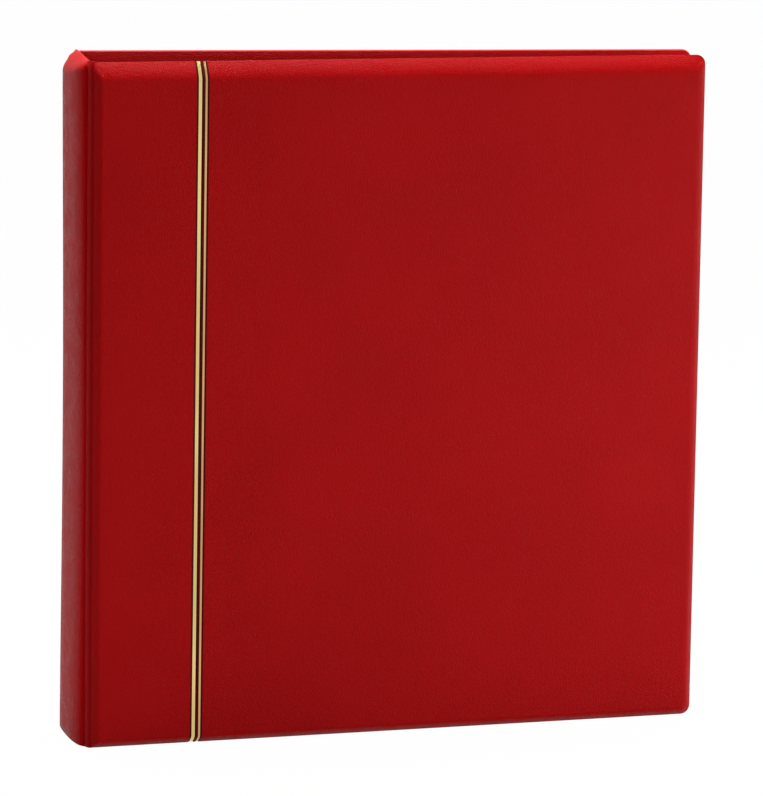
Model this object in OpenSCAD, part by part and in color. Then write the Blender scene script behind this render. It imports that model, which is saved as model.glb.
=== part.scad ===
// Stamp album: a ring binder with padded leatherette covers, standing upright.
// +Z is up. The front cover faces -Y and the spine faces -X.
// The origin is at the middle of the album's bottom.
// A cover is drawn in its own frame: x runs from the hinge edge to the fore-edge,
// y runs from the outer face inwards, and z runs up. "Depth" is that y.

/* [Covers] */
// Height of the covers and the spine
cover_h = 320; // [314:1:350]
// Length of a cover, from its hinge edge to its fore-edge
cover_l = 300; // [294:1:330]
// Thickness of the greyboard
board_t = 3; // [2.4:0.1:3.2]
// Distance of the greyboard's edges from the cover's edges
board_edge = 2.5; // [2:0.1:4]
// Thickness of the foam on a cover
foam_t = 2.6; // [2.2:0.1:4]
// Thickness of the leatherette
skin_t = 0.8; // [0.6:0.1:1]
// Thickness of the lining, and of the leatherette turned in beside it
lining_t = 0.6; // [0.5:0.1:0.8]
// Width of the rolled border where the padding falls to the edge
roll_w = 10; // [8:0.5:14]
// Radius of the covers' corners
corner_r = 5; // [3:0.5:8]
// Width of the leatherette turned in on the inner face
turn_in = 14; // [12:1:20]
// How far each cover leans in towards the other, in degrees
lean = 3.3; // [2.8:0.1:3.6]

/* [Spine] */
// Distance between the covers' outer faces at the hinge
spine_w = 66; // [65:0.5:70]
// How far each shoulder of the spine pad stays in from the cover's outer face
shoulder_in = 6.8; // [6:0.1:7.2]
// Height of the spine pad's crown over its shoulders
spine_crown = 4.2; // [3.6:0.1:6]
// Height of the slope at the head of the spine pad
head_slope = 7; // [6:0.5:12]
// Height of the slope at the foot of the spine pad
foot_slope = 0.4; // [0.2:0.1:3]
// Thickness of the spine's board
spine_board_t = 2; // [1.6:0.1:2.4]
// How far the spine board's outer face stands out past the shoulders
board_out = 0.9; // [0.6:0.1:1.2]
// Thickness of the flexible joint between spine and cover
joint_t = 0.4; // [0.3:0.05:0.5]

/* [Gold lines] */
// Distance of the wide line's middle from the cover's hinge edge
wide_line_x = 49.6; // [40:0.2:60]
// Width of the wide line
wide_line_w = 2; // [1.6:0.1:3]
// Distance between the middles of the two lines
line_pitch = 2.9; // [2.5:0.05:4]
// Width of the narrow line
narrow_line_w = 1.1; // [0.8:0.1:1.4]
// How deep the lines are pressed into the leatherette
press_depth = 0.2; // [0.1:0.05:0.3]
// Thickness of the foil
foil_t = 0.15; // [0.1:0.05:0.2]

/* [Ring mechanism] */
// Number of rings
ring_count = 14; // [10:1:14]
// Distance from ring to ring
ring_pitch = 20; // [18:0.5:20.5]
// Radius of a ring, to the middle of its wire
ring_r = 14; // [13:0.5:15]
// Radius of the ring wire
wire_r = 1.25; // [1.1:0.05:1.4]
// Outer half-width of the housing
housing_hw = 17; // [16.6:0.1:18]
// Height of the housing at its side walls
housing_wall_h = 4.2; // [4:0.1:5]
// Height of the housing at its middle
housing_h = 7.6; // [7.4:0.1:9]
// Thickness of the housing's sheet steel
sheet_t = 1; // [0.8:0.1:1.2]
// Thickness of a blade
blade_t = 1.2; // [1:0.1:1.4]
// Clearance between the blades and what they turn beside
blade_gap = 0.5; // [0.4:0.1:0.6]
// Radius of the rivets
rivet_r = 2.2; // [1.8:0.1:2.6]
// Radius of the lever pins
pin_r = 1.25; // [1:0.05:1.5]
// Radial clearance of the levers on their pins
pin_play = 0.05; // [0.03:0.01:0.08]
// Height of a lever's tab over the lining
lever_h = 16; // [14:0.5:17]
// Width of a lever's tab
lever_w = 14; // [10:0.5:18]

/* [Leaves] */
// Distance from leaf to leaf
leaf_pitch = 1.3; // [1.2:0.05:1.4]
// Thickness of a leaf's card
leaf_t = 0.7; // [0.5:0.05:0.75]
// Length of a leaf from its crease to its fore-edge
leaf_l = 254; // [240:1:256]
// Distance of a leaf's ends from the covers' ends
leaf_end_gap = 13; // [11:0.5:16]
// Radius of the punched holes
hole_r = 3; // [2.9:0.05:3.2]
// Number of clear strips on a leaf
strip_count = 6; // [4:1:8]
// Thickness of a clear strip
strip_t = 0.25; // [0.2:0.05:0.25]

/* [Hidden] */
$fn = 48;
eps = 0.01;
over = 1;
hull_fn = 32;
leaf_count = 4;
leaf_names = [for (i = [1:leaf_count]) str("leaf_", i)];
leaf_pieces = ["margin", "linen", "card", "strips"];

// Covers
cover_t = skin_t + foam_t + board_t + lining_t;
board_y = skin_t + foam_t;
lining_y = board_y + board_t;
sharp_r = 1;
board_slack = 0.1;
hinge_gap = 0.75;
roll_step = 15;

// Spine: x = 0 is where the covers' hinge edges would meet their outer faces
shoulder_x = -0.8;
pad_hw = spine_w / 2 - shoulder_in;
cover_gap = 1.1;
stem_hw = spine_w / 2 - cover_t - cover_gap;
head_out = 0.2;
head_x = shoulder_x - head_out;
spine_board_x = shoulder_x - board_out;
spine_board_end = 6;
spine_lining_x = spine_board_x + spine_board_t;
inside_x = spine_lining_x + lining_t;
crown_power = 2.5;
crown_steps = 24;
hinge_in = 2.8;
hinge_y = spine_w / 2 - hinge_in;
joint_end_gap = 0.5;
lining_in = 2;
beyond = 100;

// The album is centred: from the spine's crown to the fore-edges
x_min = shoulder_x - spine_crown;
x_max = (hinge_gap + cover_l) * cos(lean) - board_y * sin(lean);
centre_x = (x_min + x_max) / 2;

// Ring mechanism, over the spine lining
blade_lift = 1.4;
blade_x = inside_x + blade_lift;
blade_hw = housing_hw - sheet_t - blade_gap;
blade_split = 0.2;
ring_sink = 1.9;
ring_x = inside_x + ring_r - ring_sink;
ring_end = 16;
housing_l = (ring_count - 1) * ring_pitch + 2 * ring_end;
housing_z = (cover_h - housing_l) / 2;
ring_z0 = housing_z + ring_end;
ring_foot = acos((blade_x - ring_x) / ring_r);
slot_lift = 5.8;
slot_play_in = 1.1;
slot_play_out = 1.6;
slot_play_z = 0.7;
slot_mid = sqrt(ring_r * ring_r - pow(ring_x - inside_x - slot_lift, 2));
slot_in = slot_mid - wire_r - slot_play_in;
slot_out = slot_mid + wire_r + slot_play_out;
slot_z = wire_r + slot_play_z;
blade_end = 6;
roof_s = housing_h - housing_wall_h;
roof_r = (housing_hw * housing_hw + roof_s * roof_s) / (2 * roof_s);
roof_x = inside_x + housing_h - roof_r;
roof_fn = 200;
rivet_pitches = 4.5;
rivet_head_r = 4;
rivet_head_t = 1.2;
rivet_clear = 1;
pin_in = 3;
pin_lift = 3;
pin_x = inside_x + pin_lift;
roof_end = 8;
lever_hub_r = 2.4;
lever_hub_w = 24;
lever_t = 2;
lever_arm_l = 3.6;
lever_arm_t = 1;
lever_arm_w = 4;
lever_arm_lift = 0.1;
lever_arm_x = inside_x + lever_arm_lift;

// Leaves
leaf_mid = (leaf_count + 1) / 2;
hole_play = 0.3;
hole_edge = 3;
crease_play = 0.15;
crease_out = 7.5;
crease_x = ring_x + ring_r + crease_out;
leaf_h = cover_h - 2 * leaf_end_gap;
linen_t = 0.2;
linen_w = 4;
strip_x = 10;
strip_edge = 8;
strip_w = 28;
corner_leaf = 3;

// ---- Placing ----

// From the hinge frame to the album's own frame
module album() { translate([-centre_x, 0, 0]) children(); }

// Front cover, leaning in about its hinge edge
module at_front() {
    album() translate([0, -spine_w / 2, 0]) rotate([0, 0, lean]) translate([hinge_gap, 0, 0]) children();
}

// Back cover: the front one mirrored
module at_back() { mirror([0, 1, 0]) at_front() children(); }

// ---- Covers ----

// A rectangle with rounded corners
module rounded_rect(l, h, r) {
    translate([r, 0]) square([l - 2 * r, h]);
    translate([0, r]) square([l, h - 2 * r]);
    for (x = [r, l - r], z = [r, h - r]) translate([x, z]) circle(r);
}

// A plate in the cover's plane, from a depth inwards
module cover_plate(inset, depth, t) {
    r = max(corner_r - inset, sharp_r);
    translate([inset, depth + t, inset]) rotate([90, 0, 0])
        linear_extrude(t) rounded_rect(cover_l - 2 * inset, cover_h - 2 * inset, r);
}

// The padded cover's solid form, taken in by "in" on every side, down to the depth "back"
module padded_form(in, back) {
    hull() for (a = [0:roll_step:90]) {
        depth = in + (board_y - in) * (1 - sin(a));
        cover_plate(in + roll_w * (1 - cos(a)), depth, back - depth, $fn = hull_fn);
    }
}

// A band over the cover's whole height, where a gold line is pressed
module line_band(x, w) {
    translate([x - w / 2, -over, -over]) cube([w, board_y + over, cover_h + 2 * over]);
}

module wide_band() { line_band(wide_line_x, wide_line_w); }
module narrow_band() { line_band(wide_line_x + line_pitch, narrow_line_w); }

module cover_board() { cover_plate(board_edge, board_y, board_t); }

// The foam covers the board's outer face and is folded over its edges
module cover_foam() {
    difference() {
        padded_form(skin_t, lining_y);
        cover_plate(board_edge, board_y, board_t + over);
    }
}

module cover_lining() { cover_plate(turn_in, lining_y, lining_t); }

module cover_skin() {
    difference() {
        padded_form(0, cover_t);
        padded_form(skin_t, lining_y);
        cover_plate(turn_in, lining_y - eps, lining_t + over);
    }
}

module gold_line() {
    intersection() {
        children();
        difference() {
            padded_form(press_depth, cover_t);
            padded_form(press_depth + foil_t, cover_t);
        }
    }
}

module front_board() { color("tan") at_front() cover_board(); }
module front_foam() { color("lightyellow") at_front() cover_foam(); }
module front_lining() { color("darkred") at_front() cover_lining(); }
module front_skin() {
    color("firebrick") at_front() difference() {
        cover_skin();
        difference() {
            union() {
                wide_band();
                narrow_band();
            }
            padded_form(press_depth + foil_t, cover_t);
        }
    }
}
module gold_line_wide() { color("gold") at_front() gold_line() wide_band(); }
module gold_line_narrow() { color("goldenrod") at_front() gold_line() narrow_band(); }

module back_board() { color("tan") at_back() cover_board(); }
module back_foam() { color("lightyellow") at_back() cover_foam(); }
module back_lining() { color("darkred") at_back() cover_lining(); }
module back_skin() { color("firebrick") at_back() cover_skin(); }

// ---- Spine ----

// Height of the crown over the shoulders, at a distance from the spine's middle
function crown_at(y, hw, h) = h * pow(max(0, 1 - pow(abs(y) / hw, crown_power)), 1 / crown_power);

// Section of the spine: crowned outside, and narrow where it passes between the covers
module spine_section(in, back_x) {
    hw = pad_hw - in;
    polygon(concat(
        [for (i = [0:crown_steps])
            let (y = -hw * cos(180 * i / crown_steps))
            [shoulder_x - crown_at(y, hw, spine_crown - in), y]],
        [[shoulder_x, stem_hw - in], [back_x, stem_hw - in],
         [back_x, -(stem_hw - in)], [shoulder_x, -(stem_hw - in)]]));
}

// The spine's solid form, taken in by "in" on every side, as far as the plane x = back_x
module spine_form(in, back_x) {
    difference() {
        hull() {
            translate([0, 0, foot_slope])
                linear_extrude(cover_h - head_slope - foot_slope) spine_section(in, back_x);
            translate([head_x + in, -(stem_hw - in), in])
                cube([back_x - head_x - in, 2 * (stem_hw - in), cover_h - 2 * in]);
        }
        for (m = [0, 1]) mirror([0, m, 0])
            translate([shoulder_x - in, stem_hw - in, -over]) cube([beyond, beyond, cover_h + 2 * over]);
    }
}

// A sheet behind the spine's pad, in from the stem's sides and from its ends
module spine_sheet(x, t, in, end) {
    album() translate([x, -(stem_hw - in), end]) cube([t, 2 * (stem_hw - in), cover_h - 2 * end]);
}

// The foam pad covers the board's outer face and is folded over its ends
module spine_foam() {
    color("lightyellow") difference() {
        album() spine_form(skin_t, spine_lining_x);
        spine_sheet(spine_board_x, spine_board_t + over, 0, spine_board_end);
    }
}

rivet_zs = [ring_z0 + ring_pitch * rivet_pitches, cover_h - ring_z0 - ring_pitch * rivet_pitches];

// Rivets run from the spine board's outer face through the housing's roof
module rivets_through(clear) {
    for (z = rivet_zs) album() translate([spine_board_x, 0, z]) rotate([0, 90, 0])
        cylinder(r = rivet_r + clear, h = inside_x + housing_h - spine_board_x);
}

module spine_board() {
    color("tan") difference() {
        spine_sheet(spine_board_x, spine_board_t, skin_t + board_slack, spine_board_end);
        rivets_through(0);
    }
}

module spine_lining() {
    color("darkred") difference() {
        spine_sheet(spine_lining_x, lining_t, lining_in, lining_in);
        rivets_through(0);
    }
}

module spine_skin() {
    color("firebrick") album() difference() {
        spine_form(0, inside_x);
        spine_form(skin_t, spine_lining_x);
        translate([spine_lining_x - eps, -(stem_hw - lining_in), lining_in])
            cube([lining_t + over, 2 * (stem_hw - lining_in), cover_h - 2 * lining_in]);
    }
}

// The thin leatherette hinge: glued to the spine's stem and shoulder, and reaching to the hinge line
module joint() {
    album() translate([0, 0, joint_end_gap]) linear_extrude(cover_h - 2 * joint_end_gap)
        polygon([[inside_x, -stem_hw], [inside_x, -stem_hw - joint_t],
                 [shoulder_x + joint_t, -stem_hw - joint_t], [shoulder_x + joint_t, -hinge_y],
                 [shoulder_x, -hinge_y], [shoulder_x, -stem_hw]]);
}

module front_joint() { color("maroon") joint(); }
module back_joint() { color("maroon") mirror([0, 1, 0]) joint(); }

// ---- Ring mechanism ----

// Places something at the centre of every ring
module at_rings() {
    for (i = [0:ring_count - 1]) album() translate([ring_x, 0, ring_z0 + i * ring_pitch]) children();
}

// The front half of each ring, from the tip to its foot in the blade
module ring_halves() {
    at_rings() rotate([0, 0, -ring_foot])
        rotate_extrude(angle = ring_foot) translate([ring_r, 0]) circle(wire_r);
}

module front_ring_halves() { color("silver") ring_halves(); }
module back_ring_halves() { color("silver") mirror([0, 1, 0]) ring_halves(); }

// A spring-steel blade, which carries one half of every ring
module blade() {
    difference() {
        album() translate([blade_x, -blade_hw, housing_z + blade_end])
            cube([blade_t, blade_hw - blade_split, housing_l - 2 * blade_end]);
        ring_halves();
        rivets_through(rivet_clear);
    }
}

module front_blade() { color("gray") blade(); }
module back_blade() { color("gray") mirror([0, 1, 0]) blade(); }

// Section of the housing: two side walls under an arched roof
module housing_section(in) {
    intersection() {
        translate([inside_x, -(housing_hw - in)]) square([housing_h, 2 * (housing_hw - in)]);
        translate([roof_x, 0]) circle(roof_r - in, $fn = roof_fn);
    }
}

module ring_housing() {
    color("lightsteelblue") difference() {
        album() translate([0, 0, housing_z]) linear_extrude(housing_l) difference() {
            housing_section(0);
            translate([-eps, 0]) housing_section(sheet_t);
        }
        // the roof stops short of the levers, and the side walls carry their pins
        album() for (z = [housing_z - over, housing_z + housing_l - roof_end])
            translate([inside_x, -(housing_hw - sheet_t), z])
                cube([housing_h + over, 2 * (housing_hw - sheet_t), roof_end + over]);
        // slots in the roof, where the rings pass through it
        for (m = [0, 1]) mirror([0, m, 0]) at_rings()
            translate([blade_x + blade_t - ring_x, slot_in, -slot_z])
                cube([housing_h, slot_out - slot_in, 2 * slot_z]);
        rivets_through(0);
        lever_pins();
    }
}

module housing_rivets() {
    color("silver") {
        rivets_through(0);
        for (z = rivet_zs) album() translate([inside_x + housing_h, 0, z]) rotate([0, 90, 0])
            cylinder(r = rivet_head_r, h = rivet_head_t);
    }
}

// Pin positions along the housing
pin_zs = [housing_z + pin_in, housing_z + housing_l - pin_in];

module lever_pins() {
    color("silver") for (z = pin_zs)
        album() translate([pin_x, housing_hw, z]) rotate([90, 0, 0])
            cylinder(r = pin_r, h = 2 * housing_hw);
}

// The top lever, bent from sheet steel: a hub on its pin, a tab for the finger, and an arm
// under the blades
module top_lever_shape() {
    z = pin_zs[1];
    tab_x = inside_x + lever_h - lever_t;
    album() difference() {
        union() {
            translate([pin_x, lever_hub_w / 2, z]) rotate([90, 0, 0])
                cylinder(r = lever_hub_r, h = lever_hub_w);
            translate([pin_x, -lever_w / 2, z - lever_t / 2])
                cube([tab_x - pin_x, lever_w, lever_t]);
            translate([tab_x, lever_w / 2, z]) rotate([90, 0, 0])
                cylinder(r = lever_t, h = lever_w);
            translate([lever_arm_x, -lever_arm_w / 2, z - lever_arm_l])
                cube([lever_arm_t, lever_arm_w, lever_arm_l]);
        }
        translate([pin_x, lever_hub_w, z]) rotate([90, 0, 0])
            cylinder(r = pin_r + pin_play, h = 2 * lever_hub_w);
    }
}

module top_lever() { color("silver") top_lever_shape(); }
module bottom_lever() { color("silver") translate([0, 0, cover_h]) mirror([0, 0, 1]) top_lever_shape(); }

// ---- Leaves ----

function leaf_y(i) = (i - leaf_mid) * leaf_pitch;
function wire_x(i) = ring_x + sqrt(ring_r * ring_r - leaf_y(i) * leaf_y(i));
function hole_x(i) = wire_x(i) + hole_r - wire_r - hole_play;
margin_x = hole_x(1) - hole_r - hole_edge;

// The punched margin hangs on the rings
module leaf_margin(i) {
    color("ivory") difference() {
        album() translate([margin_x, leaf_y(i) - leaf_t / 2, leaf_end_gap])
            cube([crease_x - crease_play - margin_x, leaf_t, leaf_h]);
        at_rings() translate([hole_x(i) - ring_x, leaf_y(i) + leaf_t, 0]) rotate([90, 0, 0])
            cylinder(r = hole_r, h = 2 * leaf_t);
    }
}

// Linen that hinges the card to the margin, on the side the leaf turns to
module leaf_linen(i) {
    side = leaf_y(i) < 0 ? -leaf_t / 2 - linen_t : leaf_t / 2;
    color("linen") album() translate([crease_x - crease_play - linen_w, leaf_y(i) + side, leaf_end_gap])
        cube([linen_w, linen_t, leaf_h]);
}

module leaf_card(i) {
    color("black") album() translate([crease_x + crease_play, leaf_y(i) + leaf_t / 2, leaf_end_gap])
        rotate([90, 0, 0]) linear_extrude(leaf_t)
            rounded_rect(leaf_l - crease_play, leaf_h, corner_leaf);
}

// Clear strips that hold the stamps, on the card's front face
module leaf_strips(i) {
    pitch = (leaf_h - 2 * strip_edge) / strip_count;
    y = leaf_y(i) - leaf_t / 2 - strip_t;
    color("lightcyan") for (k = [0:strip_count - 1])
        album() translate([crease_x + strip_x, y, leaf_end_gap + strip_edge + k * pitch])
            cube([leaf_l - strip_x - strip_edge, strip_t, strip_w]);
}

spine_board();
spine_foam();
spine_skin();
spine_lining();
front_joint();
back_joint();
front_board();
front_foam();
front_skin();
front_lining();
gold_line_wide();
gold_line_narrow();
back_board();
back_foam();
back_skin();
back_lining();
ring_housing();
housing_rivets();
lever_pins();
front_blade();
back_blade();
front_ring_halves();
back_ring_halves();
top_lever();
bottom_lever();
for (i = [1:leaf_count]) {
    leaf_margin(i);
    leaf_linen(i);
    leaf_card(i);
    leaf_strips(i);
}
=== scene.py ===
import math

import bpy
import numpy as np
from mathutils import Matrix, Vector


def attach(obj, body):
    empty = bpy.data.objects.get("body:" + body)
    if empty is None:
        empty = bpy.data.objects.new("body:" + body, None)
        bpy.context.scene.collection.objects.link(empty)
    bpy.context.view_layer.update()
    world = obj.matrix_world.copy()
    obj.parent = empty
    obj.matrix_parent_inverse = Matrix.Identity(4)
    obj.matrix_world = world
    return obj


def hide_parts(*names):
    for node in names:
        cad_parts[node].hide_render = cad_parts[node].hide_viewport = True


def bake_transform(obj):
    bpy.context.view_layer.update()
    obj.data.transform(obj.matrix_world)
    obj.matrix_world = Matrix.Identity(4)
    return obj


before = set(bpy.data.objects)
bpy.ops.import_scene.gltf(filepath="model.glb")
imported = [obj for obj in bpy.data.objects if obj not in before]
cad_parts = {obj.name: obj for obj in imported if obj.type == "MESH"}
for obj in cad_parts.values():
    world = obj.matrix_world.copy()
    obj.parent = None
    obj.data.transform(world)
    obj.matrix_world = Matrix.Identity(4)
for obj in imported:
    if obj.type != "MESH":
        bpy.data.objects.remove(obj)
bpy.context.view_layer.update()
MM = 0.001


# ---- Camera and stage ----
# The album stands on a pale floor before a white background. The camera stands
# to its front left and looks down a little, through a long lens.

YAW, PITCH, ROLL = map(math.radians, (14.6957, 8.9094, 0.8488))
EYE = Vector((-0.573331, -2.182010, 0.510458))
FOCAL_PX, LONG_SIDE_PX, SENSOR = 4818.46, 796, 36

ahead = Vector((math.sin(YAW), math.cos(YAW), 0))
look = ahead * math.cos(PITCH) - Vector((0, 0, 1)) * math.sin(PITCH)
level = Vector((math.cos(YAW), -math.sin(YAW), 0))
upright = Vector((0, 0, 1)) * math.cos(PITCH) + ahead * math.sin(PITCH)
right = level * math.cos(ROLL) + upright * math.sin(ROLL)
up = upright * math.cos(ROLL) - level * math.sin(ROLL)
lens = bpy.data.cameras.new("camera")
lens.sensor_width = SENSOR
lens.lens = FOCAL_PX * SENSOR / LONG_SIDE_PX
lens.dof.use_dof = False
camera = bpy.data.objects.new("camera", lens)
camera.matrix_world = Matrix((right, up, -look)).transposed().to_4x4()
camera.matrix_world.translation = EYE
bpy.context.scene.collection.objects.link(camera)
bpy.context.scene.camera = camera
bpy.context.scene.view_settings.view_transform = "Standard"


class Sock:
    """A socket of a shader's node tree. Arithmetic on it adds the nodes."""

    def __init__(self, tree, socket):
        self.tree, self.socket = tree, socket

    def _math(self, operation, *values):
        node = self.tree.nodes.new("ShaderNodeMath")
        node.operation = operation
        for slot, value in zip(node.inputs, values):
            if isinstance(value, Sock):
                self.tree.links.new(value.socket, slot)
            else:
                slot.default_value = value
        return Sock(self.tree, node.outputs[0])

    def __add__(self, other):
        return self._math("ADD", self, other)

    def __mul__(self, other):
        return self._math("MULTIPLY", self, other)

    def step(self, low, high, to_low=0.0, to_high=1.0):
        """Smooth step from to_low at low to to_high at high."""
        node = self.tree.nodes.new("ShaderNodeMapRange")
        node.interpolation_type = "SMOOTHSTEP"
        self.tree.links.new(self.socket, node.inputs["Value"])
        limits = {"From Min": low, "From Max": high, "To Min": to_low, "To Max": to_high}
        for name, value in limits.items():
            node.inputs[name].default_value = value
        return Sock(self.tree, node.outputs["Result"])

    def colours(self, low, high):
        """This value as a blend of two colours, each a list of 3 or a socket."""
        node = self.tree.nodes.new("ShaderNodeMix")
        node.data_type = "RGBA"
        self.tree.links.new(self.socket, node.inputs["Factor"])
        for slot, value in ((node.inputs[6], low), (node.inputs[7], high)):
            if isinstance(value, Sock):
                self.tree.links.new(value.socket, slot)
            else:
                slot.default_value = (*value, 1)
        return Sock(self.tree, node.outputs[2])


class Paint:
    """A material on a Principled shader, with Object coordinates in millimetres."""

    def __init__(self, name, **constants):
        self.material = bpy.data.materials.new(name)
        self.material.use_nodes = True
        self.tree = self.material.node_tree
        self.shader = self.tree.nodes["Principled BSDF"]
        place = self.tree.nodes.new("ShaderNodeTexCoord")
        self.mm = self._scaled(place.outputs["Object"], (1 / MM,) * 3)
        for key, value in constants.items():
            self.shader.inputs[key.replace("_", " ")].default_value = value

    def _scaled(self, socket, scale):
        node = self.tree.nodes.new("ShaderNodeVectorMath")
        node.operation = "MULTIPLY"
        self.tree.links.new(socket, node.inputs[0])
        node.inputs[1].default_value = scale
        return node.outputs[0]

    def noise(self, size, detail=2.0, stretch=(1, 1, 1)):
        """Noise from 0 to 1 whose features are about size millimetres across."""
        node = self.tree.nodes.new("ShaderNodeTexNoise")
        self.tree.links.new(self._scaled(self.mm, stretch), node.inputs["Vector"])
        node.inputs["Scale"].default_value = 1 / size
        node.inputs["Detail"].default_value = detail
        return Sock(self.tree, node.outputs["Fac"])

    def cells(self, size, feature="F1"):
        """Distance to the nearest cell centre or edge, for grain and foam."""
        node = self.tree.nodes.new("ShaderNodeTexVoronoi")
        node.feature = feature
        self.tree.links.new(self.mm, node.inputs["Vector"])
        node.inputs["Scale"].default_value = 1 / size
        return Sock(self.tree, node.outputs["Distance"])

    def attribute(self, name):
        """A value stored with the mesh's points."""
        node = self.tree.nodes.new("ShaderNodeAttribute")
        node.attribute_name = name
        return Sock(self.tree, node.outputs["Fac"])

    def put(self, name, sock):
        """Links a varying value to one of the shader's inputs."""
        self.tree.links.new(sock.socket, self.shader.inputs[name])

    def bump(self, height, depth):
        """Bump from a height of 0 to 1, depth millimetres deep."""
        node = self.tree.nodes.new("ShaderNodeBump")
        node.inputs["Distance"].default_value = depth * MM
        self.tree.links.new(height.socket, node.inputs["Height"])
        self.put("Normal", Sock(self.tree, node.outputs["Normal"]))


def paint_nodes(paint, *nodes):
    """Gives CAD nodes a material."""
    for name in nodes:
        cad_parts[name].data.materials.clear()
        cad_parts[name].data.materials.append(paint.material)


def piece(name, points, faces, paint, body=None, shade_smooth=True):
    """A mesh object from points in millimetres of the album's frame."""
    mesh = bpy.data.meshes.new(name)
    mesh.from_pydata([tuple(p) for p in np.asarray(points) * MM], [], faces)
    mesh.validate()
    mesh.materials.append(paint.material)
    mesh.polygons.foreach_set("use_smooth", [shade_smooth] * len(mesh.polygons))
    obj = bpy.data.objects.new(name, mesh)
    bpy.context.scene.collection.objects.link(obj)
    if body:
        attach(obj, body)
    return obj


def strip_faces(rows, columns, closed=False):
    """Quads over a grid of points, listed row by row. closed joins each row's two ends."""
    faces = []
    for i in range(rows - 1):
        this, after = i * columns, (i + 1) * columns
        for j in range(columns if closed else columns - 1):
            n = (j + 1) % columns
            faces.append((this + j, this + n, after + n, after + j))
    return faces


def rim_of(rows, columns):
    """The outermost points of such a grid, once round."""
    index = np.arange(rows * columns).reshape(rows, columns)
    return np.concatenate([index[0, :-1], index[:-1, -1], index[-1, :0:-1], index[:0:-1, 0]])


def wall_faces(ring, deeper):
    """Quads between two rings of as many points."""
    quads = zip(ring, deeper, np.roll(deeper, -1), np.roll(ring, -1))
    return [tuple(int(i) for i in quad) for quad in quads]


def normals(grid):
    """Unit normals at a grid's points."""
    normal = np.cross(np.gradient(grid, axis=1), np.gradient(grid, axis=0))
    return normal / np.linalg.norm(normal, axis=-1, keepdims=True)


# Half the floor's side in metres, and its grey. Then how strongly the floor glows white, and the
# world's strength: first to shading rays, then to those from the camera or a mirror. The floor's
# faint glow to shading rays is painted fill light, which lights the album's foot though the floor is no
# lamp
FLOOR_HALF, FLOOR_GREY = 6, (0.52, 0.52, 0.52)
FLOOR_GLOW, WORLD_STRENGTH = (0.14, 0.985), (0.165, 1.0)


def seen_directly(tree):
    """1 on rays from the camera, and on those that pass a mirror or a clear film."""
    rays = tree.nodes.new("ShaderNodeLightPath")
    from_camera, mirrored, passed = (
        Sock(tree, rays.outputs[f"Is {kind} Ray"]) for kind in ("Camera", "Glossy", "Transmission"))
    return from_camera + mirrored + passed


floor_corners = [(x * FLOOR_HALF, y * FLOOR_HALF, 0) for x, y in ((-1, -1), (1, -1), (1, 1), (-1, 1))]
floor_mesh = bpy.data.meshes.new("floor")
floor_mesh.from_pydata(floor_corners, [], [(0, 1, 2, 3)])
floor = bpy.data.objects.new("floor", floor_mesh)
bpy.context.scene.collection.objects.link(floor)
floor_paint = Paint("floor", Roughness=0.9)
floor_paint.shader.inputs["Base Color"].default_value = (*FLOOR_GREY, 1)
floor_mesh.materials.append(floor_paint.material)
tree = floor_paint.tree
# The floor glows white: in full to the camera and to mirrors, and faintly to shading rays, which is
# painted fill light on the album
white = tree.nodes.new("ShaderNodeEmission")
white.inputs["Strength"].default_value = 1
mixed = tree.nodes.new("ShaderNodeMixShader")
tree.links.new(seen_directly(tree).step(0, 1, *FLOOR_GLOW).socket, mixed.inputs["Fac"])
tree.links.new(floor_paint.shader.outputs[0], mixed.inputs[1])
tree.links.new(white.outputs[0], mixed.inputs[2])
tree.links.new(mixed.outputs[0], tree.nodes["Material Output"].inputs["Surface"])

world = bpy.data.worlds.new("world")
bpy.context.scene.world = world
world.use_nodes = True
tree = world.node_tree
strength = seen_directly(tree).step(0, 1, *WORLD_STRENGTH)
tree.links.new(strength.socket, tree.nodes["Background"].inputs["Strength"])
tree.nodes["Background"].inputs["Color"].default_value = (1, 1, 1, 1)


def soft_light(name, place, target, size, power):
    """A square soft box that faces a target."""
    lamp = bpy.data.lights.new(name, "AREA")
    lamp.size = size
    lamp.energy = power
    obj = bpy.data.objects.new(name, lamp)
    obj.location = place
    aim = Vector(target) - Vector(place)
    obj.rotation_euler = aim.to_track_quat("-Z", "Y").to_euler()
    bpy.context.scene.collection.objects.link(obj)


soft_light("overhead", (0.05, 0.27, 1.3), (0, 0, 0.2), 1.0, 56)
soft_light("key", (0.78, -0.62, 0.12), (0, 0, 0.1), 0.35, 8)
soft_light("fill", (-1.6, -0.5, 0.6), (0, 0, 0.16), 1.0, 3)


# ---- Greyboards and foam ----
# Greyboard stiffens each cover and the spine, and a sheet of foam is glued to its
# outer face. The leatherette hides both.

greyboard = Paint("greyboard", Roughness=0.9)
greyboard.put("Base Color", greyboard.noise(0.8, 4).colours((0.30, 0.27, 0.23), (0.42, 0.39, 0.34)))
greyboard.bump(greyboard.noise(0.5, 3), 0.05)
paint_nodes(greyboard, "front_board", "back_board", "spine_board")

foam = Paint("foam", Roughness=1.0)
foam.put("Base Color", foam.cells(0.5).colours((0.72, 0.66, 0.42), (0.85, 0.80, 0.58)))
foam.bump(foam.cells(0.5), 0.15)
paint_nodes(foam, "front_foam", "back_foam", "spine_foam")


# ---- Covers ----
# Each cover is leatherette drawn over foam and board, and turned in at the edges.
# The padding falls to the edges in a soft roll. On the front cover two lines of foil
# are pressed in, which leaves a dark border beside each.

COVER_H, COVER_L, SPINE_W, HINGE_GAP, LEAN = 320.0, 300.0, 66.0, 0.75, math.radians(3.3)
# The album is centred between the spine's crown and the boards at the fore-edge
SHOULDER_X, CROWN, BOARD_DEPTH = -0.8, 4.2, 3.4
FAR_X = (HINGE_GAP + COVER_L) * math.cos(LEAN) - BOARD_DEPTH * math.sin(LEAN)
CENTRE_X = (SHOULDER_X - CROWN + FAR_X) / 2
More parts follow.
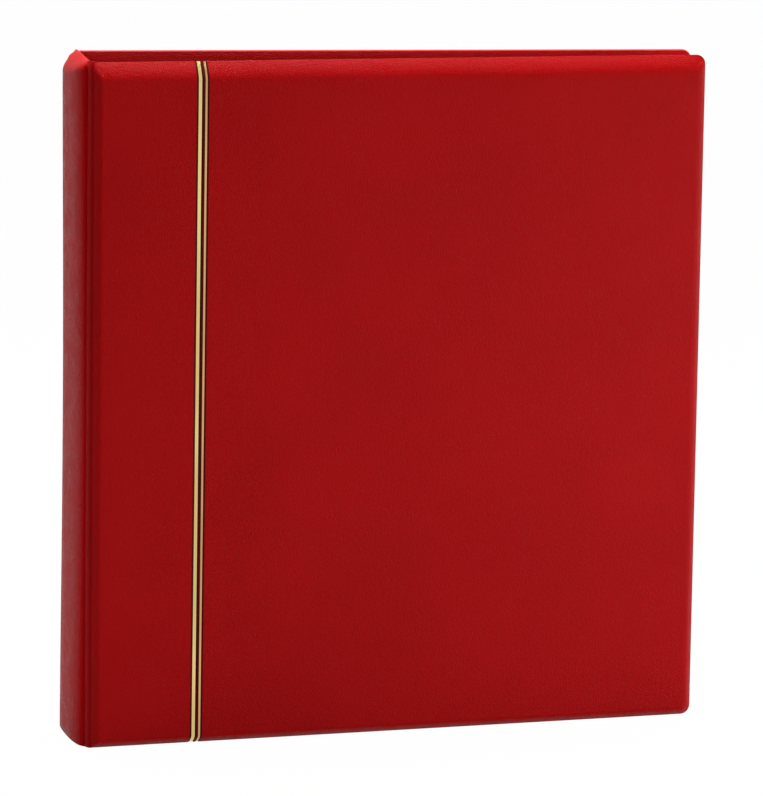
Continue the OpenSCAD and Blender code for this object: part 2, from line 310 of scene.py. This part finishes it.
# The roll: its width at the head, its depth and shape, and the depth of the face inside it.
# Then how many times narrower it is at the other edges
ROLL_W, ROLL_D, ROLL_POWER, CORNER_POWER, FACE_DEPTH = 8.5, 4.3, 1.45, 5, 0.25
NEAR_ROLL, FAR_ROLL, FOOT_ROLL = 2.1, 1.9, 2.2
# Corners: radius over the roll's width, for each cover at the hinge, and at the fore-edge
FRONT_NEAR, BACK_NEAR, FAR_CORNER = 0.15, 0.7, 0.55
# The near edge stands out a little, and the two covers' heads differ in height
NEAR_OUT, HEAD_SHIFT, HEAD_ZONE = 0.9, 0.35, 12
# The face: its swell and unevenness. The grid: spacing, first place in from an edge, least
# spacing, and steps through the roll
RISE, WAVE = 0.5, 0.05
GRID_STEP, GRID_END, LEAST_STEP, ROLL_STEPS = 6.5, 14, 0.04, 15
# The cloth whose swell the face takes
CLOTH_COLUMNS, CLOTH_ROWS, CLOTH_PRESSURE, CLOTH_STIFFNESS, CLOTH_FRAMES = 25, 27, 4, 40, 20
# The edge wall under the roll: depth below it, and how far it draws in, in full on the front
# cover and less on the back one. Then the turn-in
WALL = ((0.6, 0.1), (1.2, 0.4), (1.8, 0.9), (2.2, 1.7))
FRONT_WALL, BACK_WALL, TURN_IN = 1.0, 0.3, 13.6
# Each pressed line: distance from the hinge edge, half-width, depth
LINES = ((49.6, 1.0, 0.30), (52.5, 0.62, 0.26))
# The foil's share of a line's width, how far the lines lean from foot to head, and the share
# of the height at which they keep their distance
FOIL_SHARE, LINE_SKEW, LINE_LEVEL = 0.78, 0.9, 0.33
# Width of a groove's wall, and of the dark border: full, fading, and down the edge wall
GROOVE_WALL, STAIN_W, STAIN_FADE, STAIN_END = 0.22, 0.5, 0.45, 2.0


def cover_to_album(u, depth, z, side):
    """From a cover's own frame to the album's. side is -1 for the front cover."""
    u = np.asarray(u) + HINGE_GAP
    x = u * math.cos(LEAN) - depth * math.sin(LEAN) - CENTRE_X
    y = side * (SPINE_W / 2 - u * math.sin(LEAN) - depth * math.cos(LEAN))
    return np.stack([x, y, z], axis=-1)


def smooth(t):
    """Smooth step from 0 at 0 to 1 at 1."""
    t = np.clip(t, 0, 1)
    return t * t * (3 - 2 * t)


def edge_steps(length, inner):
    """Positions across a cover: close together in the rolled borders."""
    a = np.radians(np.linspace(0, 90, ROLL_STEPS))
    rolled = ROLL_W * (1 - np.cos(a))
    return np.unique(np.round(np.concatenate([rolled, inner, length - rolled]), 4))


def rounded(a, b, w, share):
    """Takes a square corner zone of width w to a rounded one. share is the radius over w."""
    va, vb = np.clip(w - a, 0, None), np.clip(w - b, 0, None)
    q, low = np.maximum(va, vb), np.minimum(va, vb)
    t = np.where(q > 0, low / np.maximum(q, 1e-9), 0)
    flat = 1 - share
    run = t * (flat + share * math.pi / 4)
    angle = np.clip((run - flat) / share, 0, None)
    major = np.where(run < flat, 1, flat + share * np.cos(angle))
    minor = np.where(run < flat, run, flat + share * np.sin(angle))
    return (
        w - q * np.where(va >= vb, major, minor),
        w - q * np.where(va >= vb, minor, major),
    )


def stretched(rise):
    """Cloth held along its rim and pushed out by the foam below it, as heights on a grid."""
    us, zs = np.linspace(0, COVER_L, CLOTH_COLUMNS), np.linspace(0, COVER_H, CLOTH_ROWS)
    u, z = np.meshgrid(us, zs)
    flat = np.stack([u, z, np.zeros_like(u)], axis=-1).reshape(-1, 3)
    mesh = bpy.data.meshes.new("stretched")
    mesh.from_pydata([tuple(point) for point in flat * MM], [], strip_faces(*u.shape))
    cloth = bpy.data.objects.new("stretched", mesh)
    bpy.context.scene.collection.objects.link(cloth)
    rim = (u == 0) | (u == us[-1]) | (z == 0) | (z == zs[-1])
    held_points = [int(i) for i in np.flatnonzero(rim)]
    cloth.vertex_groups.new(name="rim").add(held_points, 1.0, "REPLACE")
    settings = cloth.modifiers.new("cloth", "CLOTH").settings
    settings.vertex_group_mass = "rim"
    settings.effector_weights.gravity = 0
    settings.use_pressure, settings.uniform_pressure_force = True, CLOTH_PRESSURE
    settings.tension_stiffness = settings.compression_stiffness = CLOTH_STIFFNESS
    for number in range(1, CLOTH_FRAMES + 1):
        bpy.context.scene.frame_set(number)
    shaped = cloth.evaluated_get(bpy.context.evaluated_depsgraph_get()).to_mesh()
    heights = np.array([v.co.z for v in shaped.vertices]).reshape(u.shape)
    bpy.context.scene.frame_set(1)
    bpy.data.objects.remove(cloth)
    return us, zs, heights * rise / np.abs(heights).max()


def between(x, xs, rows):
    """Rows of values at even steps xs, read at x through smooth curves."""
    t = np.clip((x - xs[0]) / (xs[1] - xs[0]), 0, len(xs) - 1.001)
    i = t.astype(int)
    f = t - i
    a, b, c, d = (np.pad(rows, ((0, 0), (1, 2)), "edge")[:, i + k] for k in range(4))
    return b + f * ((c - a) / 2 + f * (a - 2.5 * b + 2 * c - d / 2 + f * (1.5 * (b - c) + (d - a) / 2)))


pad_u, pad_z, pad_rise = stretched(RISE)


def outer_face(side):
    """Points of a cover's padded face on a grid, how dark a border is at each, and the columns."""
    near_lines = [x + k * d for x, hw, _ in LINES for k in (-1, 1)
                  for d in (0, hw * 0.45, hw * FOIL_SHARE, hw, hw + GROOVE_WALL * 0.5,
                            hw + GROOVE_WALL, hw + STAIN_W, hw + STAIN_W + STAIN_FADE)]
    inner_u = np.arange(GRID_END, COVER_L - GRID_END + 2, GRID_STEP)
    inner_u = np.concatenate([inner_u, near_lines if side < 0 else []])
    us = edge_steps(COVER_L, inner_u)
    us = us[np.concatenate([[True], np.diff(us) > LEAST_STEP])]
    zs = edge_steps(COVER_H, np.arange(GRID_END, COVER_H - GRID_END + 2, GRID_STEP))
    u, z = np.meshgrid(us, zs)
    inset_u = np.minimum(u * NEAR_ROLL, (COVER_L - u) * FAR_ROLL)
    inset_z = np.minimum(z * FOOT_ROLL, COVER_H - z)
    near_u, near_z = np.minimum(u, COVER_L - u), np.minimum(z, COVER_H - z)
    near_corner = FRONT_NEAR if side < 0 else BACK_NEAR
    ru, rz = rounded(near_u, near_z, ROLL_W, np.where(u < COVER_L / 2, near_corner, FAR_CORNER))
    corner = (near_u < ROLL_W) & (near_z < ROLL_W)
    ru, rz = np.where(corner, ru, near_u), np.where(corner, rz, near_z)
    pu = np.where(u < COVER_L / 2, ru, COVER_L - ru)
    pz = np.where(z < COVER_H / 2, rz, COVER_H - rz)
    pu = pu - NEAR_OUT * np.clip(1 - u / ROLL_W, 0, 1)
    across = smooth(u / LINES[0][0]) * smooth((COVER_L - u) / (COVER_L - LINES[1][0]))
    pu = pu + LINE_SKEW * (z / COVER_H - LINE_LEVEL) * across
    pz = pz + side * HEAD_SHIFT * smooth((z - COVER_H) / HEAD_ZONE + 1)
    fall_u, fall_z = np.clip(1 - inset_u / ROLL_W, 0, 1), np.clip(1 - inset_z / ROLL_W, 0, 1)
    fall = np.minimum((fall_u**CORNER_POWER + fall_z**CORNER_POWER) ** (1 / CORNER_POWER), 1)
    depth = ROLL_D * fall**ROLL_POWER
    # Waves of no common length, as the foam is never quite even
    waves = (np.sin(u / 23 + 1.3 * side) * np.sin(z / 31 + 0.7)
             + 0.6 * np.sin(u / 11 + z / 17) + 0.5 * np.sin(z / 9 - u / 37))
    rise = between(zs, pad_z, between(us, pad_u, pad_rise).T).T
    depth = depth + FACE_DEPTH + (WAVE * waves - rise) * (1 - fall) ** 2
    points = cover_to_album(pu, depth, pz, side)
    pressed = np.zeros_like(u)
    if side < 0:
        outwards = normals(points)
        for x, hw, deep in LINES:
            share = 1 - smooth((np.abs(u - x) - hw) / GROOVE_WALL)
            points = points - outwards * (share * deep)[..., None]
            stain = 1 - smooth((np.abs(u - x) - hw - STAIN_W) / STAIN_FADE)
            pressed = np.maximum(pressed, stain)
    return points, pressed, us


def cover_skin(name, side, paint, body):
    """A cover's leatherette as a closed form: padded face, edge wall and turned-in back."""
    points, pressed, us = outer_face(side)
    rows, columns = points.shape[:2]
    rim = rim_of(rows, columns)
    flat, stain = points.reshape(-1, 3), pressed.reshape(-1)
    edge = flat[rim]
    inwards = cover_to_album(0, 1.0, 0, side) - cover_to_album(0, 0.0, 0, side)
    middle = cover_to_album(COVER_L / 2, ROLL_D, COVER_H / 2, side)
    grids, stains, faces, ring = [flat], [stain], strip_faces(rows, columns), rim
    drawn_in = FRONT_WALL if side < 0 else BACK_WALL
    for deeper, shrink in [(d, s * drawn_in) for d, s in WALL] + [(WALL[-1][0], TURN_IN)]:
        share = np.array([1 - shrink / (COVER_L / 2)] * 2 + [1 - shrink / (COVER_H / 2)])
        next_ring = sum(map(len, grids)) + np.arange(len(rim))
        grids.append(middle + (edge - middle) * share + inwards * deeper)
        stains.append(stain[rim] * (1 if deeper < STAIN_END else 0))
        faces += wall_faces(ring, next_ring)
        ring = next_ring
    faces.append(tuple(int(i) for i in ring[::-1]))
    if side > 0:
        faces = [f[::-1] for f in faces]
    obj = piece(name, np.concatenate(grids), faces, paint, body)
    shade = obj.data.attributes.new("pressed", "FLOAT", "POINT")
    shade.data.foreach_set("value", np.concatenate(stains).astype(np.float32))
    return obj, points, us


# The dark border beside a pressed line, and the depth of the grain in millimetres
PRESSED_RED, GRAIN_DEPTH = (0.045, 0.0006, 0.0004), 0.11


def leatherette(name, light, dark, roughness, shine):
    """Embossed red leatherette: fine pebbles with creases between them."""
    paint = Paint(name, IOR=1.45, Specular_IOR_Level=shine)
    tone = paint.noise(60, 3).step(0.3, 0.7) * 0.7 + paint.noise(4, 2) * 0.3
    base = tone.colours(dark, light)
    creases = paint.cells(0.95, "DISTANCE_TO_EDGE").step(0.0, 0.22)
    paint.put("Base Color", paint.attribute("pressed").colours(base, PRESSED_RED))
    paint.put("Roughness", paint.noise(7, 3).step(0.3, 0.7, roughness - 0.04, roughness + 0.06))
    grain = creases * 0.6 + paint.noise(0.5, 3) * 0.25 + paint.noise(2.4, 2) * 0.35
    paint.bump(grain, GRAIN_DEPTH)
    return paint


red = leatherette("leatherette_red", (0.29, 0.0010, 0.0016), (0.26, 0.0006, 0.0012), 0.40, 0.05)
front_skin, front_points, front_us = cover_skin("front_cover_leatherette", -1, red, "front_cover")
back_skin, _, _ = cover_skin("back_cover_leatherette", 1, red, "back_cover")
for skin, cover in ((front_skin, "front"), (back_skin, "back")):
    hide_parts(f"{cover}_skin", f"{cover}_foam")

lining = Paint("lining_red", Roughness=0.75)
lining.put("Base Color", lining.noise(30, 3).colours((0.16, 0.004, 0.006), (0.21, 0.006, 0.008)))
lining.bump(lining.noise(0.4, 3), 0.04)
paint_nodes(lining, "front_lining", "back_lining", "spine_lining")


# ---- Gold lines ----
# Two lines of hot-stamped metal foil, one wide and one narrow. They run the cover's
# whole height, over the roll at the head and at the foot.

# The foil's thickness, and how far it sinks into the groove's bottom
FOIL_T, FOIL_SINK = 0.08, 0.02


def foil(name, tint, shade):
    """Hot-stamped metal foil, a little uneven."""
    paint = Paint(name, Metallic=1.0)
    wear = paint.noise(18, 4, stretch=(1, 1, 0.3)).step(0.35, 0.65)
    paint.put("Base Color", wear.colours(shade, tint))
    paint.put("Roughness", paint.noise(1.5, 3).step(0.3, 0.7, 0.14, 0.26))
    paint.bump(paint.noise(0.6, 3), 0.02)
    return paint


def foil_line(name, line, paint, node):
    """A foil strip laid in the bottom of its groove, from edge to edge."""
    x, hw, _ = line
    keep = np.abs(front_us - x) <= hw * FOIL_SHARE + 1e-3
    under = front_points[:, keep]
    outwards = normals(under)
    top, bottom = under + outwards * FOIL_T, under - outwards * FOIL_SINK
    rows, columns = under.shape[:2]
    half = rows * columns
    faces = strip_faces(rows, columns)
    faces += [tuple(half + i for i in f[::-1]) for f in faces]
    rim = rim_of(rows, columns)
    faces += wall_faces(rim, half + rim)
    points = np.concatenate([top.reshape(-1, 3), bottom.reshape(-1, 3)])
    obj = piece(name, points, faces, paint, "front_cover", shade_smooth=False)
    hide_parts(node)
    return obj


gold = foil("foil_gold", (0.78, 0.58, 0.235), (0.63, 0.46, 0.185))
copper = foil("foil_copper", (0.68, 0.36, 0.16), (0.54, 0.285, 0.125))
foil_line("gold_foil_wide", LINES[0], gold, "gold_line_wide")
foil_line("gold_foil_narrow", LINES[1], copper, "gold_line_narrow")


# ---- Spine ----
# The spine's board carries a crowned foam pad under leatherette. At the head the pad
# is cut to a slope, and the leatherette is drawn over it and turned in.

# Cross-section: half-widths of the pad and of the skin behind it, the crown's shape, where
# the skin ends inside, and how much flatter the crown is at half height
PAD_HW, STEM_HW, CROWN_POWER, INSIDE_X, BOW, BOW_POWER = 26.2, 24.9, 2.5, 0.75, 1.2, 1.5
# Height of the slope at the head's back end and front end, and at the foot
BACK_SLOPE, FRONT_SLOPE, FOOT_SLOPE, SLOPE_SPREAD, SLOPE_POWER = 8.5, 4.5, 0.4, 1.6, 1.9
# The head's edge: its place, how far it is askew, its rise at the back end and over what
# height, and the width of the skin behind it
HEAD_X, HEAD_SKEW, HEAD_RISE, RISE_ZONE, RIM_W = 1.3, 1.8, 1.1, 12, 0.8
# Below the head, where the inner edge starts to move out to it, and over what height
INNER_START, INNER_RUN = 3.5, 2
SPINE_COLUMNS, ROW_STEP, SLOPE_ROWS = 49, 7, 13


def crown(y):
    """How far the pad stands out beyond its shoulders at y."""
    return CROWN * np.clip(1 - np.abs(y / PAD_HW) ** CROWN_POWER, 0, 1) ** (1 / CROWN_POWER)


def spine_rows():
    """The pad's outer face as rows of points from foot to head, and each row's inner edge."""
    y = PAD_HW * np.sin(np.linspace(-1, 1, SPINE_COLUMNS) * math.pi / 2)
    toward_back = (1 + y / PAD_HW) / 2
    slope = FRONT_SLOPE + (BACK_SLOPE - FRONT_SLOPE) * smooth(toward_back * SLOPE_SPREAD)
    base = COVER_H - slope
    # Each row: how far it has gone from the crown to the pad's edge, and its height
    rows = [(1.0, 0.0), (0.4, 0.12), (0.0, FOOT_SLOPE)]
    rows += [(0.0, z) for z in np.arange(FOOT_SLOPE + 4, COVER_H - BACK_SLOPE - 8, ROW_STEP)]
    rows += [(0.0, base - 3), (0.0, base)]
    rows += [(k**SLOPE_POWER, base + slope * k) for k in np.linspace(0.08, 0.98, SLOPE_ROWS)]
    rows += [(1.0, COVER_H - 0.08), (1.04, COVER_H)]
    grid, inner = [], []
    for share, z in rows:
        z = np.broadcast_to(z, y.shape)
        squeeze = BOW * np.sin(math.pi * np.clip(z / COVER_H, 0, 1)) ** BOW_POWER
        full = SHOULDER_X - crown(y) * (1 - squeeze / CROWN)
        top = HEAD_X + HEAD_SKEW * y / PAD_HW if z[0] > COVER_H / 2 else SHOULDER_X
        px = full + (top - full) * share
        py = y * (1 + (STEM_HW / PAD_HW - 1) * min(share, 1))
        near_top = np.clip((z - COVER_H + RISE_ZONE) / RISE_ZONE, 0, 1)
        lift = HEAD_RISE * toward_back * near_top**2
        grid.append(np.stack([px, py, z + lift], axis=-1))
        near_head = smooth((z[0] - COVER_H + INNER_START) / INNER_RUN)
        ends = np.array([HEAD_X + HEAD_SKEW, HEAD_X - HEAD_SKEW]) + RIM_W
        inner.append(INSIDE_X + (ends - INSIDE_X) * near_head)
    return np.array(grid), inner


# The spine's copy of the covers' leatherette, painted a shade lighter than theirs: a painted difference
# in light between spine and covers. It also shines much less
red_spine = leatherette("leatherette_spine", (0.30, 0.0010, 0.0016), (0.27, 0.0006, 0.0012), 0.3, 0.008)


def spine_skin():
    """The spine's leatherette as a closed form: the padded face, and four points behind each row."""
    grid, inner = spine_rows()
    closing = []
    for row, (inner_back, inner_front) in zip(grid, inner):
        back, front = row[-1], row[0]
        stem = min(STEM_HW, back[1])
        closing.append([(back[0], stem, back[2]), (inner_back, stem, back[2]),
                        (inner_front, -stem, front[2]), (front[0], -stem, front[2])])
    full = np.concatenate([grid, np.array(closing)], axis=1) - np.array([CENTRE_X, 0, 0])
    rows, columns = full.shape[:2]
    faces = [f[::-1] for f in strip_faces(rows, columns, closed=True)]
    faces.append(tuple(range(columns)))
    faces.append(tuple(range((rows - 1) * columns, rows * columns))[::-1])
    return piece("spine_leatherette", full.reshape(-1, 3), faces, red_spine, "spine")


spine = spine_skin()
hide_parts("spine_skin", "spine_foam")


# ---- Joints ----
# Between spine and cover the leatherette is left free of board and foam; on the album it folds there,
# but this strip is one fixed shape.
# It stands out as a low ridge between two fine grooves.

# The joints' copy of the covers' leatherette, painted darker than theirs: painted shade in the hinge
# between spine and cover. It is also rougher and shines less
red_joint = leatherette("leatherette_joint", (0.26, 0.0010, 0.0016), (0.22, 0.0006, 0.0012), 0.45, 0.03)
# The strip's outer face in cross-section, as x and y
RIDGE = ((-1.3, 24.6), (-1.25, 25.6), (-1.1, 26.6), (-0.85, 27.6), (-0.55, 28.5),
         (-0.15, 29.3), (0.35, 29.9), (0.95, 30.2), (1.5, 30.2))
# Two points of its cross-section, where the real strip's fold starts and ends; they are read below but
# shape nothing
BEND_START, BEND_END = (-1.0, 26.6), (0.9, 30.2)
# Thickness, heights of the foot and of each strip's head, and rows
JOINT_T, JOINT_FOOT, FRONT_HEAD, BACK_HEAD, JOINT_ROWS = 0.45, 0.4, 320.2, 312.0, 60


def joint_strip(name, side, node, head):
    """The free strip of leatherette, from under the pad's edge onto the cover's edge."""
    outer = np.array(RIDGE)
    run = np.gradient(outer, axis=0)
    inwards = np.stack([run[:, 1], -run[:, 0]], axis=1) / np.linalg.norm(run, axis=1, keepdims=True)
    section = np.concatenate([outer, (outer + inwards * JOINT_T)[::-1]])
    zs = np.linspace(JOINT_FOOT, head, JOINT_ROWS)
    points = [(x - CENTRE_X, side * y, z) for z in zs for x, y in section]
    last = len(points) - len(section)
    faces = strip_faces(JOINT_ROWS, len(section), closed=True)
    faces += [tuple(range(len(section)))[::-1], tuple(range(last, len(points)))]
    if side > 0:
        faces = [f[::-1] for f in faces]
    obj = piece(name, points, faces, red_joint)
    start, end = (
        Vector(((x - CENTRE_X) * MM, side * y * MM, 0)) for x, y in (BEND_START, BEND_END))
    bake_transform(obj)
    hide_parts(node)


joint_strip("front_joint_leatherette", -1, "front_joint", FRONT_HEAD)
joint_strip("back_joint_leatherette", 1, "back_joint", BACK_HEAD)


# ---- Ring mechanism ----
# Bright zinc-plated steel: an arched housing riveted to the spine holds two spring
# blades, and each blade carries one half of every ring. Two levers open them.

zinc = Paint("zinc_plated_steel", Metallic=1.0)
zinc.put("Base Color", zinc.noise(12, 4).colours((0.52, 0.52, 0.54), (0.68, 0.68, 0.69)))
zinc.put("Roughness", zinc.noise(3, 4, stretch=(1, 1, 0.15)).step(0.3, 0.7, 0.22, 0.4))
zinc.bump(zinc.noise(0.7, 3, stretch=(1, 1, 0.1)), 0.02)
paint_nodes(zinc, "ring_housing", "housing_rivets", "lever_pins")

spring = Paint("spring_steel", Metallic=1.0)
spring.put("Base Color", spring.noise(9, 4).colours((0.33, 0.33, 0.35), (0.45, 0.45, 0.46)))
spring.put("Roughness", spring.noise(2, 3).step(0.3, 0.7, 0.32, 0.5))
spring.bump(spring.noise(0.9, 3), 0.02)
paint_nodes(spring, "front_blade", "back_blade")

nickel = Paint("nickel_wire", Metallic=1.0)
nickel.put("Base Color", nickel.noise(6, 3).colours((0.74, 0.73, 0.71), (0.84, 0.83, 0.81)))
nickel.put("Roughness", nickel.noise(1.2, 3).step(0.3, 0.7, 0.08, 0.2))
nickel.bump(nickel.noise(0.8, 3), 0.01)
paint_nodes(nickel, "front_ring_halves", "back_ring_halves")

lever = Paint("nickel_plated_lever", Metallic=1.0)
lever.put("Base Color", lever.noise(5, 3).colours((0.60, 0.58, 0.54), (0.72, 0.70, 0.66)))
lever.put("Roughness", lever.noise(2, 3).step(0.3, 0.7, 0.18, 0.32))
lever.bump(lever.noise(0.8, 3), 0.015)
paint_nodes(lever, "top_lever", "bottom_lever")


# ---- Stock leaves ----
# Four leaves of black card with clear strips that hold stamps. Each hangs on the rings
# by a punched margin of ivory card, joined to it by a strip of linen.

card = Paint("black_card", Roughness=0.85)
card.put("Base Color", card.noise(1.5, 4).colours((0.012, 0.012, 0.013), (0.024, 0.024, 0.025)))
card.bump(card.noise(0.4, 3), 0.03)
margin = Paint("ivory_card", Roughness=0.8)
margin.put("Base Color", margin.noise(20, 4).colours((0.66, 0.61, 0.48), (0.76, 0.71, 0.58)))
margin.bump(margin.noise(0.4, 3), 0.03)
linen = Paint("linen_tape", Roughness=0.9)
weave = linen.noise(0.5, 2, stretch=(1, 1, 3))
linen.put("Base Color", weave.colours((0.50, 0.46, 0.36), (0.68, 0.63, 0.52)))
linen.bump(linen.noise(0.5, 2, stretch=(3, 1, 1)), 0.06)
film = Paint("clear_film", IOR=1.5, Alpha=0.3)
film.put("Base Color", film.noise(15, 3).colours((0.80, 0.84, 0.86), (0.88, 0.91, 0.92)))
film.put("Roughness", film.noise(5, 3).step(0.3, 0.7, 0.06, 0.16))
film.bump(film.noise(12, 2), 0.1)
for i in range(1, 5):
    paint_nodes(card, f"leaf_{i}_card")
    paint_nodes(margin, f"leaf_{i}_margin")
    paint_nodes(linen, f"leaf_{i}_linen")
    paint_nodes(film, f"leaf_{i}_strips")
